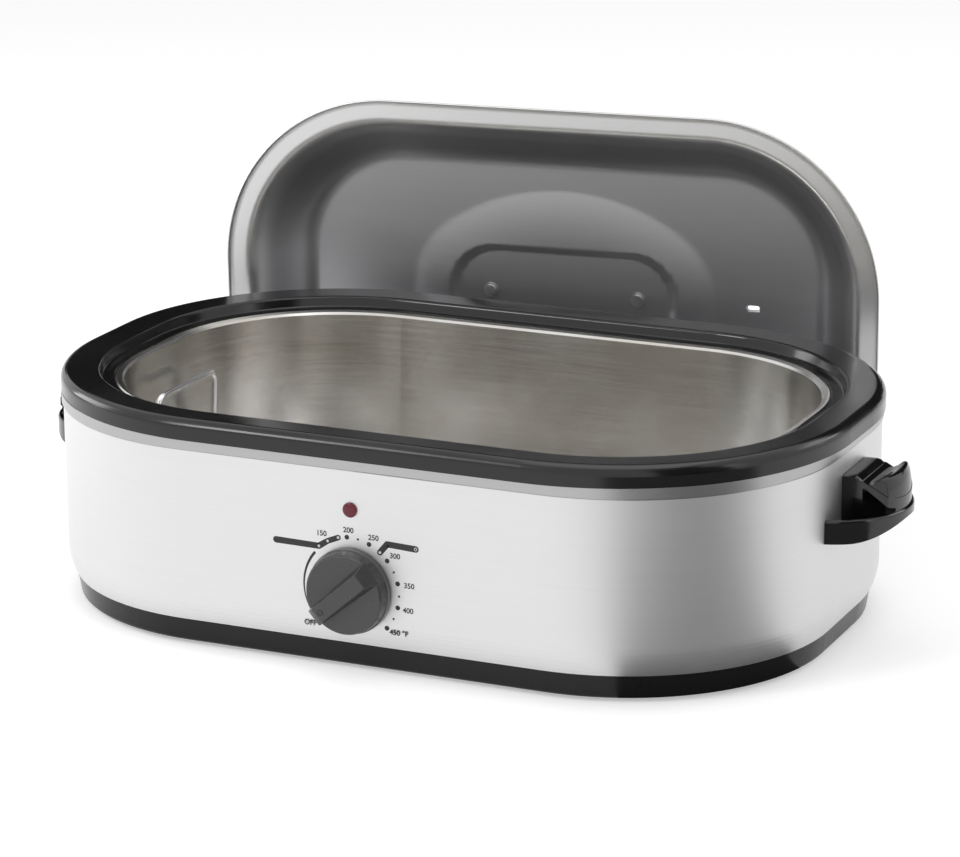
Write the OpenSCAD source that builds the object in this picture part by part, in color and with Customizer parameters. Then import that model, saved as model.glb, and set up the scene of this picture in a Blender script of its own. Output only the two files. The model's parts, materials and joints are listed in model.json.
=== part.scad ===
// Electric roaster oven: a long, round-cornered housing on a black base, a heated well with a lift-out
// pan and rack, a front dial, and a domed lid, lifted off and stood on its long edge behind the housing.
// Every outline in plan is an offset of one rectangle, called the spine here.
// Z = 0 is the table, the front is -Y.

/* [Plan outline] */
// Half length of the spine, along the front
spine_x = 118; // [100:1:140]
// Half length of the spine, along each end
spine_y = 23; // [21:1:40]
// Radius of the pan's mouth from the spine
pan_r = 119; // [112:0.5:124]
// Gap between the pan and the heated well
well_gap = 4.5; // [4:0.1:6]
// Space between the well and the housing
wall_space = 31; // [29:0.1:32]
// How much squarer the housing's corners are than the rim's
square = 10; // [6:0.5:12]

/* [Heights] */
// How far the feet stand out under the base
foot_h = 2.5; // [2:0.1:5]
// Height of the base that shows under the housing
base_h = 16.5; // [12:0.5:24]
// Height of the housing wall
housing_h = 126; // [122:1:150]
// Height of the rim collar
collar_h = 14; // [13:0.5:18]

/* [Sheet and walls] */
// Housing sheet
housing_t = 0.8; // [0.6:0.1:1.2]
// Well sheet
well_t = 0.8; // [0.6:0.1:1.5]
// Pan sheet
pan_t = 0.8; // [0.8:0.1:1.4]
// Lid sheet
lid_t = 1; // [0.8:0.1:1.6]
// Wall of the moulded base
base_t = 2.5; // [2:0.1:3.5]
// Wall of the moulded rim collar
collar_t = 2.4; // [2:0.1:3]
// Clearance between pieces that are pushed together
seat_gap = 0.05; // [0.02:0.01:0.1]

/* [Rim collar] */
// How far the collar stands out over the housing
rim_overhang = 5; // [4.5:0.5:8]
// Radius of the collar's outer edge
rim_edge_r = 6.5; // [4:0.5:7]
// Width of the ledge that carries the lid
ledge_w = 6.4; // [5:0.2:8]
// Depth of the ledge under the collar's top
ledge_drop = 8; // [7.5:0.1:9]

/* [Pan and rack] */
// Width of the pan's flange
pan_flange_w = 6; // [5:0.2:8]
// Height of the pan's floor over the table
pan_floor_z = 36; // [35.5:0.5:45]
// How much narrower the pan's floor is than its mouth
pan_draft = 6; // [4:0.5:10]
// Radius of the pan's bottom corner
pan_corner_r = 15; // [12:1:20]
// Radius of the rack's frame wire
frame_wire_r = 2.5; // [2:0.1:3]
// Radius of the rack's cross wires
cross_wire_r = 1.6; // [1.2:0.1:2]
// Distance between cross wires
wire_pitch = 30; // [24:1:40]
// Height of the rack's frame over the pan's floor
rack_leg_h = 12; // [10:1:20]
// Height of the rack's lifting bows over its frame
bow_h = 76; // [60:1:80]
// Half width of each lifting bow
bow_half_w = 42; // [36:1:46]

/* [Control knob] */
// Place of the knob and the indicator along the front
control_x = -3; // [-10:0.5:10]
// Height of the knob's axis over the table
knob_z = 57; // [54:0.5:62]
// Radius of the knob's skirt
knob_r = 28.5; // [26:0.5:30]
// Height of the skirt over the panel
knob_skirt_h = 12.8; // [12:0.1:15]
// Height of the pointer bar over the panel
knob_bar_h = 20; // [18:0.5:24]
// Width of the pointer bar
knob_bar_w = 12; // [9:0.5:14]
// Radius of the knob's shaft
shaft_r = 3; // [2.5:0.1:3.2]
// Running clearance of the shaft in its bush
shaft_gap = 0.05; // [0.02:0.01:0.08]
// Angle of the pointer at off, clockwise from straight up
off_angle = -131; // [-140:1:-120]

/* [Indicator] */
// Height of the indicator's axis over the table
lamp_z = 111; // [104:0.2:116]
// Radius of the lens
lens_r = 5; // [4:0.1:7]

/* [Side handles] */
// How far each side handle stands out
handle_out = 39; // [36:1:44]
// Radius of the handle's outer edge in plan
handle_r = 55; // [50:1:60]
// Height of the handle's underside over the table
handle_z = 85; // [80:1:90]
// Height of the handle's outer lip
lip_h = 16; // [14:0.5:20]
// How far the handle's underside rises towards its tip
tip_rise = 10; // [6:0.5:11]
// Wall of the handle
handle_t = 3.5; // [3:0.1:5]
// Half width of the handle's block and thumb plate
block_half_w = 24; // [20:0.5:28]
// Height of the block over the handle's underside
block_h = 36; // [32:0.5:40]

/* [Lid] */
// Radius of the lid's edge from the spine
lid_r = 127; // [126.5:0.5:129]
// Width of the lid's flat flange
lid_flange_w = 14; // [10:0.5:18]
// Depth of the lid's dome
lid_depth = 46; // [36:1:56]
// Width of the curved wall between flange and top
lid_wall_w = 42; // [34:1:50]
// Depth of the lid's hem
lid_hem_h = 2.5; // [1.5:0.1:4]
// Height of each pressed step in the lid's top
emboss_h = 3; // [2:0.2:4]
// Turn of the parked lid, seen from above
lid_yaw = 6.8; // [0:0.1:7]
// Lean of the parked lid towards the housing
lid_lean = 1.5; // [0:0.1:1.8]
// Place of the parked lid's centre along the housing
lid_x = -28; // [-40:1:-10]
// Gap between the rim's back and the parked lid's lower edge
lid_gap = 15; // [15:1:60]
// Height of the lid's handle over the recess
grip_h = 34; // [30:1:40]
// Half length of the lid's handle
grip_half = 68; // [60:1:72]

/* [Fasteners] */
// Radius of the base screws
base_screw_r = 2; // [1.5:0.1:2.5]
// Radius of the handle screws
handle_screw_r = 2.4; // [2:0.1:2.8]
// Radius of the cord gland's bore
gland_bore_r = 3.7; // [3:0.1:4]
// Distance of the cord gland from the middle of the back
gland_x = 95; // [70:1:100]
// Height of the cord gland over the table
gland_z = 51; // [51:0.5:60]

/* [Hidden] */
$fn = 64;
arc_steps = 6;
eps = 0.01;

// Plan radii, from the pan outwards
well_r = pan_r + pan_t + well_gap;
housing_r = well_r + well_t + wall_space + housing_t;
rim_r = housing_r + rim_overhang;
pan_flange_r = pan_r + pan_flange_w;
rebate_r = pan_flange_r + 0.6;
ledge_r = rebate_r + ledge_w;
collar_lip_r = pan_r + pan_t + 1.5;
tuck_in = 4.8;
tuck_h = 19;
tuck_r = (pow(tuck_in, 2) + pow(tuck_h, 2)) / (2 * tuck_in);
base_inset = 5.3;
base_r = housing_r - base_inset;
base_draft = 2.2;
hem_r = housing_r - 10;
base_lip_r = hem_r - 0.3;
top_flange_r = housing_r - 14;
well_flange_r = housing_r - 8;
band_r = well_r + well_t + seat_gap;
band_t = 2.8;
clip_t = 1;
blanket_r = band_r + band_t + clip_t + 0.8;
blanket_t = 14;
panel_y = spine_y + housing_r;
end_x = spine_x + housing_r;

// Levels over the table
base_z = foot_h;
housing_z = base_z + base_h;
collar_z = housing_z + housing_h;
rim_top_z = collar_z + collar_h;
ledge_z = rim_top_z - ledge_drop;
rebate_z = ledge_z - 1.8;
well_top_z = collar_z + well_t;
well_floor_z = pan_floor_z - 4.5;
shield_t = 0.8;
shield_z = well_floor_z - 7;

// Front controls, measured out from the panel
nut_h = 3;
nut_flat = 14;
bush_r = 4.5;
bush_out = 3.6;
bracket_t = 1;
bracket_w = 44;
bracket_h = 24;
thermo_w = 34;
thermo_h = 26;
thermo_depth = 17;
knob_lift = 1;
boss_r = 6.5;
boss_lift = bush_out + 0.6;
shaft_out = knob_skirt_h - 1.6;
shaft_in = thermo_depth - 3;
flat_y = 0.6 * shaft_r;
spring_t = 0.8;
barrel_r = lens_r - 1.1;
barrel_depth = 12;
lamp_r = barrel_r - 1.3;

// Fastening points
shield_screw_x = spine_x - 10;
shield_screw_y = spine_y + 40;
screw_points = [for (sx = [-1, 1], sy = [-1, 1]) [sx * shield_screw_x, sy * shield_screw_y]];
head_sink = 1.2;
foot_r = 8;
foot_pin_r = 3;
foot_sink = 0.6;
vent_l = 18;
vent_w = 4;
vent_pitch = 24;
vent_out = 65;
foot_points = [for (sx = [-1, 1], sy = [-1, 1]) [sx * (spine_x + 80), sy * (spine_y + 76)]];
handle_screw_y = 14;
handle_screw_z = handle_z + 18;
handle_plate_t = 1.2;
handle_plate_h = 18;
gland_body_r = 7.9;
gland_flange_r = 11;
gland_depth = 14;
block_size = [36, 16, 13];
block_y = spine_y + base_r - 60;
pole_pitch = 12;
pole_x = 6;
pole_z = 5;

// The parked lid
recess_half = [83, 32];
lid_y = spine_y + rim_r + lid_gap;

// ---- Shapes that repeat

// Points along an arc of a profile
function arc(x, z, r, from, to, steps = arc_steps) =
    [for (i = [0:steps]) let (a = from + (to - from) * i / steps) [x + r * cos(a), z + r * sin(a)]];

// Sweeps a profile round the spine: its X is the distance from the spine and its Y the height. A grown
// spine gives the same straight sides with squarer corners; the profile stays out of the grown part.
module swept(grow = 0) {
    half = [spine_x + grow, spine_y + grow];
    for (i = [0:3])
        translate([(i == 0 || i == 3 ? 1 : -1) * half[0], (i < 2 ? 1 : -1) * half[1], 0])
            rotate([0, 0, 90 * i])
                rotate_extrude(angle = 90) translate([-grow, 0]) children();
    for (half_turn = [0, 180])
        rotate([0, 0, half_turn]) {
            translate([spine_x, half[1], 0])
                rotate([90, 0, 0]) linear_extrude(2 * half[1]) children();
            rotate([0, 0, 90])
                translate([spine_y, half[0], 0])
                    rotate([90, 0, 0]) linear_extrude(2 * half[0]) children();
        }
}

// The flat middle of a swept tray, inside the spine
module middle(z0, z1, grow = 0) {
    half = [spine_x + grow, spine_y + grow];
    translate([-half[0], -half[1], z0]) cube([2 * half[0], 2 * half[1], z1 - z0]);
}

// A flat plate whose edge lies r outside the spine
module plate(r, z0, z1, grow = 0) {
    half = [spine_x + grow, spine_y + grow];
    translate([0, 0, z0]) linear_extrude(z1 - z0) {
        square([2 * half[0], 2 * (spine_y + r)], center = true);
        square([2 * (spine_x + r), 2 * half[1]], center = true);
        for (sx = [-1, 1], sy = [-1, 1]) translate([sx * half[0], sy * half[1]]) circle(r - grow);
    }
}

// A rectangle with round ends, in plan
module slot(half_l, half_w) {
    square([2 * (half_l - half_w), 2 * half_w], center = true);
    for (s = [-1, 1]) translate([s * (half_l - half_w), 0]) circle(half_w);
}

// An oval of four arcs, in plan
module oval(half_l, half_w, end_r) {
    side_r = (pow(half_l - end_r, 2) + pow(half_w, 2) - pow(end_r, 2)) / (2 * (half_w - end_r));
    meet_x = (half_l - end_r) * side_r / (side_r - end_r);
    for (s = [-1, 1]) translate([s * (half_l - end_r), 0]) circle(end_r);
    intersection() {
        translate([0, half_w - side_r]) circle(side_r, $fn = 200);
        translate([0, side_r - half_w]) circle(side_r, $fn = 200);
        square([2 * meet_x, 2 * half_w], center = true);
    }
}

// Places its children on the front panel: local Z points out of the panel and local Y up
module on_panel(z) {
    translate([control_x, -panel_y, z]) rotate([90, 0, 0]) children();
}

// Places its children on the right end: local X points out of the end wall
module on_end(side) {
    mirror([side < 0 ? 1 : 0, 0, 0]) translate([end_x, 0, 0]) children();
}

// Extrudes a profile of distance and height along the end wall, half_w to each side of the middle
module along_end(half_w) {
    translate([0, half_w, 0]) rotate([90, 0, 0]) linear_extrude(2 * half_w) children();
}

// Places its children on the parked lid: local Z is the dome's way out, local Y the lid's width
module on_lid() {
    translate([lid_x, lid_y, 0])
        rotate([0, 0, lid_yaw])
            rotate([lid_lean, 0, 0])
                translate([0, 0, spine_y + lid_r])
                    rotate([90, 0, 180])
                        children();
}

// A plain hexagonal nut with its hole
module hex_nut(flat, h, hole_r) {
    difference() {
        cylinder(r = flat / 2 / cos(30), h = h, $fn = 6);
        translate([0, 0, -1]) cylinder(r = hole_r, h = h + 2);
    }
}

// ---- Base

module base_pan() {
    lip_top = housing_z + housing_t + 3.2;
    color("#141414")
    difference() {
        union() {
            swept(square) polygon(concat(
                [[square, base_z]],
                arc(base_r - base_draft - 3, base_z + 3, 3, -90, -9),
                [[base_r, housing_z], [base_lip_r, housing_z], [base_lip_r, lip_top],
                    [base_lip_r - 2, lip_top]],
                arc(base_lip_r - 8, base_z + base_t + 6, 6, 0, -90),
                [[square, base_z + base_t]]));
            middle(base_z, base_z + base_t, square);
        }
        // counterbores for the screw heads, and seats for the feet
        for (p = screw_points)
            translate([p[0], p[1], 0]) {
                cylinder(r = base_screw_r + 0.2, h = housing_z);
                cylinder(r = 2 * base_screw_r + 0.3, h = base_z + head_sink);
            }
        for (p = foot_points)
            translate([p[0], p[1], 0]) {
                cylinder(r = foot_pin_r + seat_gap, h = housing_z);
                cylinder(r = foot_r + 0.3, h = base_z + foot_sink);
            }
        // cooling slots
        for (row = [-1, 1], i = [-3:3])
            translate([i * vent_pitch - vent_l / 2, row * (spine_y + vent_out) - vent_w / 2, 0])
                cube([vent_l, vent_w, housing_z]);
    }
}

module rubber_feet() {
    seat = base_z + foot_sink;
    inside = base_z + base_t;
    color("#1c1c1c")
    for (p = foot_points)
        translate([p[0], p[1], 0])
            rotate_extrude() polygon([[0, 0], [foot_r - 0.8, 0], [foot_r, 0.8], [foot_r, seat],
                [foot_pin_r, seat], [foot_pin_r, inside], [foot_pin_r + 1.5, inside + seat_gap],
                [foot_pin_r, inside + 2.5], [0, inside + 2.5]]);
}

module base_screws() {
    head_h = 1.7;
    seat = base_z + head_sink;
    color("#9a9a9a")
    for (p = screw_points)
        translate([p[0], p[1], 0]) {
            translate([0, 0, seat - head_h]) cylinder(r = 2 * base_screw_r, h = head_h);
            translate([0, 0, seat - eps]) cylinder(r = base_screw_r, h = well_floor_z - seat - 0.6);
        }
}

module base_posts() {
    color("#b5b5b5")
    for (p = screw_points)
        translate([p[0], p[1], base_z + base_t])
            difference() {
                cylinder(r = base_screw_r + 3, h = shield_z - base_z - base_t);
                translate([0, 0, -1]) cylinder(r = base_screw_r + 0.2, h = shield_z);
            }
}

// ---- Heated well

module heat_shield() {
    color("#c9c9c9")
    difference() {
        plate(well_r + 4, shield_z, shield_z + shield_t);
        for (p = screw_points)
            translate([p[0], p[1], 0]) cylinder(r = base_screw_r + 0.2, h = 2 * shield_z);
    }
}

module heating_well() {
    corner_r = 14;
    color("#8f8f8f") {
        swept() polygon(concat(
            [[0, well_floor_z]],
            arc(well_r + well_t - corner_r, well_floor_z + corner_r, corner_r, -90, 0),
            [[well_r + well_t, collar_z], [well_flange_r, collar_z], [well_flange_r, well_top_z],
                [well_r, well_top_z]],
            arc(well_r + well_t - corner_r, well_floor_z + corner_r, corner_r - well_t, 0, -90),
            [[0, well_floor_z + well_t]]));
        middle(well_floor_z, well_floor_z + well_t);
    }
}

module weld_nuts() {
    h = well_floor_z - shield_z - shield_t;
    color("#a8a8a8")
    for (p = screw_points)
        translate([p[0], p[1], shield_z + shield_t]) hex_nut(4 * base_screw_r, h, base_screw_r + seat_gap);
}

band_h = 16;
band_levels = [0.22, 0.6];
module heating_bands() {
    color("#6f6a66")
    for (share = band_levels) {
        z = well_floor_z + share * (collar_z - well_floor_z);
        translate([0, 0, z])
            swept() polygon([[band_r, 0], [band_r + band_t, 0], [band_r + band_t, band_h], [band_r, band_h]]);
    }
}

// Straps over both bands, with a foot on the well at each end
module band_clips() {
    z0 = well_floor_z + band_levels[0] * (collar_z - well_floor_z) - 1;
    z1 = well_floor_z + band_levels[1] * (collar_z - well_floor_z) + band_h + 1;
    r0 = band_r;
    r1 = band_r + band_t + 0.1;
    strap = [[r0, z0 - 9], [r0 + clip_t, z0 - 9], [r0 + clip_t, z0 - clip_t], [r1 + clip_t, z0 - clip_t],
        [r1 + clip_t, z1 + clip_t], [r0 + clip_t, z1 + clip_t], [r0 + clip_t, z1 + 9], [r0, z1 + 9],
        [r0, z1], [r1, z1], [r1, z0], [r0, z0]];
    color("#bdbdbd") {
        for (side = [0, 180], x = [-90, 60])
            rotate([0, 0, side]) translate([x, -spine_y, 0])
                rotate([90, 0, 90]) mirror([1, 0, 0]) linear_extrude(14) polygon(strap);
        for (side = [0, 180])
            rotate([0, 0, side]) translate([spine_x, 7, 0])
                rotate([90, 0, 0]) linear_extrude(14) polygon(strap);
    }
}

module insulation_blanket() {
    z0 = gland_z + gland_body_r + 1.5;
    z1 = collar_z - 7;
    color("#e9e4d6")
    difference() {
        swept() polygon([[blanket_r, z0], [blanket_r + blanket_t, z0], [blanket_r + blanket_t, z1],
            [blanket_r, z1]]);
        on_panel(knob_z)
            translate([-bracket_w / 2 - 3, -thermo_h, -wall_space])
                cube([bracket_w + 6, 2 * thermo_h, wall_space]);
        on_panel(lamp_z)
            translate([-lens_r - 4, -lens_r - 4, -wall_space])
                cube([2 * lens_r + 8, 2 * lens_r + 8, wall_space]);
    }
}

// ---- Housing and rim

module outer_shell() {
    color("#dcdcdc")
    difference() {
        swept(square) polygon(concat(
            [[hem_r, housing_z]],
            arc(housing_r - tuck_r, housing_z + tuck_h, tuck_r, -asin(tuck_h / tuck_r), 0),
            [[housing_r, collar_z], [top_flange_r, collar_z], [top_flange_r, collar_z - housing_t],
                [housing_r - housing_t, collar_z - housing_t]],
            arc(housing_r - tuck_r, housing_z + tuck_h, tuck_r - housing_t, 0,
                -asin((tuck_h - housing_t) / (tuck_r - housing_t))),
            [[hem_r, housing_z + housing_t]]));
        on_panel(knob_z) cylinder(r = bush_r + 0.3, h = 20, center = true);
        on_panel(lamp_z) cylinder(r = barrel_r + 0.1, h = 20, center = true);
        for (side = [-1, 1], sy = [-1, 1])
            on_end(side)
                translate([0, sy * handle_screw_y, handle_screw_z])
                    rotate([0, 90, 0]) cylinder(r = handle_screw_r + 0.2, h = 20, center = true);
        translate([gland_x, panel_y, gland_z])
            rotate([90, 0, 0]) cylinder(r = gland_body_r + 0.1, h = 20, center = true);
    }
}

module trim_band() {
    r = housing_r + seat_gap;
    h = 8;
    z = collar_z - h;
    color("#a3a3a3")
    swept(square) polygon([[r, z], [r + 0.6, z], [r + 1.2, z + 0.8], [r + 1.2, collar_z], [r, collar_z]]);
}

module rim_collar() {
    top_in = ledge_r + 5.8;
    rib_r = housing_r - 7.5;
    rib_t = 3.6;
    under = rim_top_z - collar_t;
    edge = rim_r - rim_edge_r;
    color("#101010")
    swept() polygon(concat(
        [[rim_r - collar_t, collar_z], [rim_r, collar_z]],
        arc(edge, rim_top_z - rim_edge_r, rim_edge_r, 0, 90, 8),
        arc(top_in, rim_top_z - 0.6 - 3, 3, 90, 155),
        arc(ledge_r, ledge_z + 2.2, 2.2, -35, -90, 4),
        [[rebate_r + 0.4, ledge_z - 0.2], [rebate_r, ledge_z - 0.6], [rebate_r, rebate_z],
            [collar_lip_r, rebate_z], [collar_lip_r, rebate_z - 2.2], [rebate_r + 1.6, rebate_z - 2.2],
            [rebate_r + 2, well_top_z], [ledge_r - 1, well_top_z], [ledge_r, ledge_z - collar_t],
            [ledge_r + 2.4, ledge_z + 0.6], [top_in + 0.6, under - 1.4], [rib_r, under - 0.6],
            [rib_r, collar_z], [rib_r + rib_t, collar_z], [rib_r + rib_t, under]],
        arc(edge, rim_top_z - rim_edge_r, rim_edge_r - collar_t, 90, 0, 8)));
}

// ---- Controls

module thermostat_body() {
    face = -housing_t - bracket_t;
    color("#4a3f33")
    on_panel(knob_z) difference() {
        union() {
            translate([-thermo_w / 2, -thermo_h / 2, face - thermo_depth])
                cube([thermo_w, thermo_h, thermo_depth]);
            translate([0, 0, face - 1]) cylinder(r = bush_r, h = bush_out - face + 1);
        }
        translate([0, 0, face - shaft_in]) cylinder(r = shaft_r + shaft_gap, h = 2 * thermo_depth);
    }
}

module thermostat_bracket() {
    color("#b8b8b8")
    on_panel(knob_z) difference() {
        translate([-bracket_w / 2, -bracket_h / 2, -housing_t - bracket_t])
            cube([bracket_w, bracket_h, bracket_t]);
        cylinder(r = bush_r + seat_gap, h = 20, center = true);
    }
}

module thermostat_nut() {
    color("#c7b27a")
    on_panel(knob_z) hex_nut(nut_flat, nut_h, bush_r + seat_gap);
}

module thermostat_tabs() {
    color("#c7a34b")
    on_panel(knob_z)
        for (side = [-1, 1])
            translate([side * (thermo_w / 2 + 4), 0, -housing_t - bracket_t - thermo_depth / 2])
                cube([8, 6.3, 0.8], center = true);
}

// The block that cuts the flat of the shaft, or leaves it in the knob's bore
module flat_block(y) {
    translate([-2 * shaft_r, -y - 2 * shaft_r, boss_lift]) cube([4 * shaft_r, 2 * shaft_r, shaft_out]);
}

module thermostat_shaft() {
    back = -housing_t - bracket_t - shaft_in + 0.4;
    color("#b9a06a")
    on_panel(knob_z) rotate([0, 0, -off_angle])
        difference() {
            translate([0, 0, back]) cylinder(r = shaft_r, h = shaft_out - back);
            flat_block(flat_y);
        }
}

module control_knob() {
    wall = 2.4;
    cavity_h = knob_skirt_h - 3.2;
    bar_tip = knob_r + 1.6;
    color("#2a2a2a")
    on_panel(knob_z) rotate([0, 0, -off_angle]) difference() {
        union() {
            rotate_extrude($fn = 96) polygon([[0, cavity_h], [knob_r - wall - 1, cavity_h],
                [knob_r - wall, knob_lift], [knob_r, knob_lift], [knob_r, knob_lift + 3.8],
                [knob_r - 0.9, knob_lift + 4.6], [knob_r - 1.3, knob_skirt_h - 1.6],
                [knob_r - 2.6, knob_skirt_h], [0, knob_skirt_h]]);
            intersection() {
                translate([-knob_bar_w / 2, 0, 0])
                    rotate([90, 0, 90]) linear_extrude(knob_bar_w)
                        polygon([[1 - knob_r, knob_skirt_h - 2], [3 - knob_r, knob_skirt_h],
                            [-0.3 * knob_r, knob_bar_h], [bar_tip - 2, knob_bar_h],
                            [bar_tip, knob_bar_h - 2], [bar_tip, knob_lift], [knob_r - wall, knob_lift],
                            [knob_r - wall, knob_skirt_h - 2]]);
                cylinder(r = bar_tip, h = knob_bar_h + 1);
            }
            translate([0, 0, boss_lift]) cylinder(r = boss_r, h = knob_skirt_h - boss_lift - 1);
        }
        difference() {
            translate([0, 0, -1]) cylinder(r = shaft_r + seat_gap, h = shaft_out + 1.2);
            flat_block(flat_y + seat_gap);
        }
    }
}

module knob_spring() {
    color("#c9c9c9")
    on_panel(knob_z) rotate([0, 0, 105 - off_angle]) translate([0, 0, boss_lift + 0.8])
        rotate_extrude(angle = 330) translate([boss_r + seat_gap, 0]) square([spring_t, 3]);
}

module indicator_lens() {
    dome_h = 2.2;
    color("#7c1020")
    on_panel(lamp_z) difference() {
        union() {
            rotate_extrude() polygon(concat([[0, 0], [lens_r, 0], [lens_r, 0.8]],
                [for (i = [1:8]) let (a = i * 90 / 8) [lens_r * cos(a), 0.8 + (dome_h - 0.8) * sin(a)]]));
            translate([0, 0, -barrel_depth]) cylinder(r = barrel_r, h = barrel_depth + 0.5);
        }
        translate([0, 0, -barrel_depth - 1]) cylinder(r = lamp_r + 0.3, h = barrel_depth);
    }
}

module indicator_clip() {
    color("#b5b5b5")
    on_panel(lamp_z) translate([0, 0, -housing_t - 1]) difference() {
        cylinder(r = barrel_r + 3, h = 1);
        translate([0, 0, -1]) cylinder(r = barrel_r + seat_gap, h = 3);
    }
}

module neon_lamp() {
    color("#e7c7b0")
    on_panel(lamp_z) translate([0, 0, -barrel_depth - 3]) cylinder(r = lamp_r, h = barrel_depth + 1.4);
}

// ---- Side handles

// A scoop: a floor that rises to the lip, round a block with a sloping thumb plate, screwed to the end wall
module side_handle() {
    centre_u = handle_out - handle_r;
    lip_z = handle_z + lip_h;
    top_z = handle_z + block_h;
    block_u = 14;
    plate_drop = 14;
    rise_u = 12;
    rise_r = (pow(handle_out - rise_u, 2) + pow(tip_rise, 2)) / (2 * tip_rise);
    rise_a = asin((handle_out - rise_u) / rise_r);
    // the underside in elevation, level at the wall and curving up to the tip
    under = concat([[-4, handle_z]], arc(rise_u, handle_z + rise_r, rise_r, -90, rise_a - 90, 8));
    difference() {
        union() {
            intersection() {
                translate([centre_u, 0, 0])
                    rotate_extrude($fn = 96) polygon(concat(
                        [[handle_r - handle_t, handle_z - 1], [handle_r, handle_z - 1]],
                        arc(handle_r - handle_t / 2, lip_z - handle_t / 2, handle_t / 2, 0, 180, 6)));
                along_end(handle_r) polygon(concat(under, [[handle_out, lip_z + 1], [-4, lip_z + 1]]));
            }
            intersection() {
                translate([centre_u, 0, handle_z]) cylinder(r = handle_r - handle_t / 2, h = block_h);
                along_end(handle_r) polygon(concat(under,
                    [for (i = [len(under) - 1:-1:0]) under[i] + [0, handle_t]]));
            }
            translate([-4, -block_half_w, handle_z + 1]) cube([4 + block_u, 2 * block_half_w, block_h - 4]);
            // the thumb plate falls from the block to the lip
            intersection() {
                along_end(block_half_w)
                    polygon([[-4, top_z - 4], [-4, top_z - 2], [-2, top_z], [block_u, top_z],
                        [handle_out + 2, top_z - plate_drop], [handle_out + 2, lip_z - 6],
                        [handle_out - handle_t - 1, lip_z - 6], [handle_out - handle_t - 1, lip_z],
                        [handle_out - handle_t - 1, top_z - plate_drop - handle_t],
                        [block_u, top_z - handle_t]]);
                translate([centre_u, 0, handle_z]) cylinder(r = handle_r - handle_t / 2, h = block_h);
            }
        }
        // the end wall of the housing
        translate([-end_x, 0, 0]) plate(housing_r, 0, rim_top_z, square);
        for (sy = [-1, 1])
            translate([-eps, sy * handle_screw_y, handle_screw_z])
                rotate([0, 90, 0]) cylinder(r = handle_screw_r + seat_gap, h = 10);
    }
}

module left_handle() {
    color("#0e0e0e") on_end(-1) side_handle();
}

module right_handle() {
    color("#0e0e0e") on_end(1) side_handle();
}

module handle_plates() {
    color("#b8b8b8")
    for (side = [-1, 1])
        on_end(side) difference() {
            translate([-housing_t - handle_plate_t, -spine_y + 1, handle_screw_z - handle_plate_h / 2])
                cube([handle_plate_t, 2 * spine_y - 2, handle_plate_h]);
            for (sy = [-1, 1])
                translate([0, sy * handle_screw_y, handle_screw_z])
                    rotate([0, 90, 0]) cylinder(r = handle_screw_r + 0.2, h = 20, center = true);
        }
}

module handle_screws() {
    seat = -housing_t - handle_plate_t;
    color("#9a9a9a")
    for (side = [-1, 1], sy = [-1, 1])
        on_end(side)
            translate([seat, sy * handle_screw_y, handle_screw_z]) rotate([0, 90, 0]) {
                translate([0, 0, -2.2]) cylinder(r = 2 * handle_screw_r, h = 2.2);
                translate([0, 0, -eps]) cylinder(r = handle_screw_r, h = 9 - seat);
            }
}

// ---- Cord entry

module cord_gland() {
    color("#181818")
    translate([gland_x, panel_y, gland_z]) rotate([-90, 0, 0]) difference() {
        union() {
            rotate_extrude() polygon([[0, 0], [gland_flange_r, 0], [gland_flange_r, 1.4],
                [gland_flange_r - 1.2, 2.6], [0, 2.6]]);
            translate([0, 0, -gland_depth]) cylinder(r = gland_body_r, h = gland_depth + 1);
        }
        translate([0, 0, -gland_depth - 1]) cylinder(r = gland_bore_r, h = gland_depth + 6);
    }
}

module gland_nut() {
    color("#202020")
    translate([gland_x, panel_y - housing_t, gland_z]) rotate([90, 0, 0])
        hex_nut(2.6 * gland_body_r, 4, gland_body_r + seat_gap);
}

module terminal_block() {
    color("#efece4")
    translate([gland_x - block_size[0] / 2, block_y, base_z + base_t]) difference() {
        cube(block_size);
        for (i = [0:2])
            translate([pole_x + pole_pitch * i, block_size[1] / 2, pole_z]) cylinder(r = 2.2, h = 20);
    }
}

module terminal_screws() {
    color("#c7a34b")
    translate([gland_x - block_size[0] / 2, block_y, base_z + base_t])
        for (i = [0:2])
            translate([pole_x + pole_pitch * i, block_size[1] / 2, pole_z]) cylinder(r = 2.1, h = 7);
}

// ---- Pan and rack

module roasting_pan() {
    foot_r0 = pan_r - pan_draft;
    color("#c4c4c4") {
        swept() polygon(concat(
            [[0, pan_floor_z]],
            arc(foot_r0 + pan_t - pan_corner_r, pan_floor_z + pan_corner_r, pan_corner_r, -90, -3),
            [[pan_r + pan_t, rebate_z - 1.2], [pan_r + pan_t + 1.2, rebate_z], [pan_flange_r, rebate_z],
                [pan_flange_r, rebate_z + 1.2], [pan_flange_r - 0.8, rebate_z + 1.9],
                [pan_flange_r - 2, rebate_z + 2.1], [pan_r + 1.4, rebate_z + 1.2], [pan_r, rebate_z - 0.4]],
            arc(foot_r0 + pan_t - pan_corner_r, pan_floor_z + pan_corner_r, pan_corner_r - pan_t, -3, -90),
            [[0, pan_floor_z + pan_t]]));
        middle(pan_floor_z, pan_floor_z + pan_t);
    }
}

// A rod between two points
module rod(from, to, r) {
    run = to - from;
    translate(from)
        rotate([0, acos(run[2] / norm(run)), atan2(run[1], run[0])])
            cylinder(r = r, h = norm(run), $fn = 24);
}

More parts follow.
